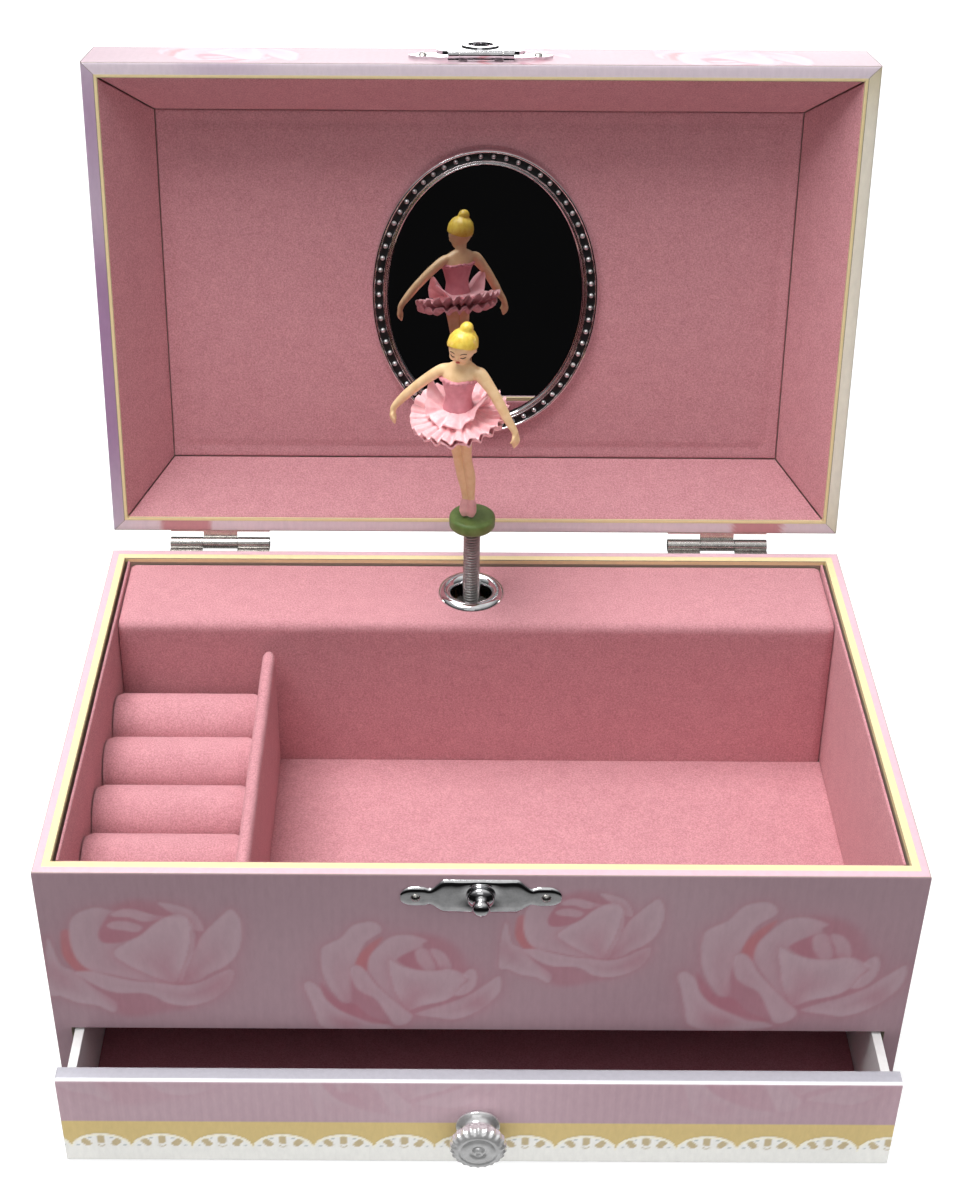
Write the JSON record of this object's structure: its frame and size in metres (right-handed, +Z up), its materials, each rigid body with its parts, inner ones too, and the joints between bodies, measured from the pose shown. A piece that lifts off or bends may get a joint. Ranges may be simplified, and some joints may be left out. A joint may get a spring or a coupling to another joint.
{
  "type": "ballerina music jewellery box",
  "caption": "Paper-covered jewellery box with a hinged mirror lid, ring rolls, a divider, a pull-out drawer and a wind-up movement that turns a dancer on a spring.",
  "frame": {"origin": "centre of the base's underside", "axes": "+X to the right seen from the front, +Y to the back, +Z up"},
  "size_m": [0.19, 0.1883, 0.2003],
  "materials": {
    "print_paper": "lilac-pink printed paper, satin",
    "bare_board": "grey-brown board",
    "white_paper": "white satin paper",
    "pink_felt": "short flocked felt, matt",
    "rose_felt": "short flocked felt, matt",
    "chrome": "polished",
    "nickel": "nickel plated",
    "steel": "hardened steel",
    "brass": "machined",
    "mirror": "silvered glass",
    "silver_plastic": "silver plated plastic with a black channel",
    "green_plastic": "moulded",
    "figure_plastic": "painted, semi-gloss",
    "tutu_plastic": "painted, semi-gloss"
  },
  "bodies": {
    "case": {"base_bottom_board": "print_paper", "base_front_board": "print_paper", "base_back_board": "print_paper", "base_left_board": "print_paper", "base_right_board": "print_paper", "compartment_shelf": "bare_board", "compartment_floor_lining": "pink_felt", "front_lining": "pink_felt", "left_lining": "pink_felt", "right_lining": "pink_felt", "rear_platform": "pink_felt", "grommet": "chrome", "divider": "pink_felt", "ring_rolls": "pink_felt", "hinge_left_base_leaf": "nickel", "hinge_right_base_leaf": "nickel", "hinge_pins": "nickel", "base_latch_plate": "chrome", "latch_stud": "chrome", "base_nails": "nickel", "movement_bedplate": "nickel", "comb": "steel", "movement_screws": "steel"},
    "lid": {"lid_latch_plate": "chrome", "lid_nails": "nickel", "lid_top_board": "print_paper", "lid_front_board": "print_paper", "lid_back_board": "print_paper", "lid_left_board": "print_paper", "lid_right_board": "print_paper", "lid_front_lining": "pink_felt", "lid_back_lining": "pink_felt", "lid_left_lining": "pink_felt", "lid_right_lining": "pink_felt", "lid_panel_lining": "pink_felt", "mirror_glass": "mirror", "mirror_frame": "silver_plastic", "hinge_left_lid_leaf": "nickel", "hinge_right_lid_leaf": "nickel", "hasp_pin": "nickel"},
    "hasp": {"hasp": "chrome"},
    "drawer": {"drawer_front": "print_paper", "drawer_left_side": "white_paper", "drawer_right_side": "white_paper", "drawer_back": "white_paper", "drawer_bottom": "white_paper", "drawer_felt": "rose_felt", "drawer_knob": "chrome", "knob_screw": "nickel"},
    "spring": {"ballerina_spring": "nickel"},
    "dancer": {"ballerina_disc": "green_plastic", "ballerina_figure": "figure_plastic", "ballerina_tutu": "tutu_plastic"},
    "cylinder": {"music_cylinder": "brass"},
    "spindle": {"dancer_spindle": "brass"},
    "drum": {"mainspring_drum": "brass", "winding_key": "nickel"},
    "fan": {"governor_fan": "brass"}
  },
  "joints": [
    {"name": "lid_hinge", "type": "hinge", "parent": "case", "child": "lid", "pos_m": [0, 0.06407, 0.0752], "axis": [1, 0, 0], "range_deg": [0, 99.7]},
    {"name": "hasp_hinge", "type": "hinge", "parent": "lid", "child": "hasp", "pos_m": [0, 0.08832, 0.19926], "axis": [1, 0, 0], "range_deg": [0, 180]},
    {"name": "drawer_slide", "type": "slide", "parent": "case", "child": "drawer", "axis": [0, -1, 0], "range_m": [-0.011, 0.07]},
    {"name": "ballerina_fold", "type": "hinge", "parent": "case", "child": "spring", "pos_m": [-0.0012, 0.045, 0.075], "axis": [1, 0, 0], "range_deg": [0, 98.5], "deforming": ["ballerina_spring"]},
    {"name": "ballerina_spin", "type": "hinge", "parent": "spring", "child": "dancer", "pos_m": [-0.0012, 0.045, 0.095], "axis": [0, 0, 1], "continuous": true},
    {"name": "drum_spin", "type": "hinge", "parent": "case", "child": "drum", "pos_m": [0.01541, 0.055, 0.05], "axis": [0, 1, 0], "continuous": true},
    {"name": "cylinder_spin", "type": "hinge", "parent": "case", "child": "cylinder", "pos_m": [0, 0.045, 0.05], "axis": [1, 0, 0], "continuous": true},
    {"name": "spindle_spin", "type": "hinge", "parent": "case", "child": "spindle", "pos_m": [-0.0012, 0.045, 0.065], "axis": [0, 0, 1], "continuous": true},
    {"name": "fan_spin", "type": "hinge", "parent": "case", "child": "fan", "pos_m": [0, 0.041, 0.06067], "axis": [1, 0, 0], "continuous": true}
  ],
  "couplings": [
    {"joint": "ballerina_fold", "follows": "lid_hinge", "ratio": 0.983},
    {"joint": "cylinder_spin", "follows": "drum_spin", "ratio": 2.4},
    {"joint": "spindle_spin", "follows": "drum_spin", "ratio": -1.5},
    {"joint": "fan_spin", "follows": "drum_spin", "ratio": -9},
    {"joint": "ballerina_spin", "follows": "drum_spin", "ratio": -1.5}
  ]
}
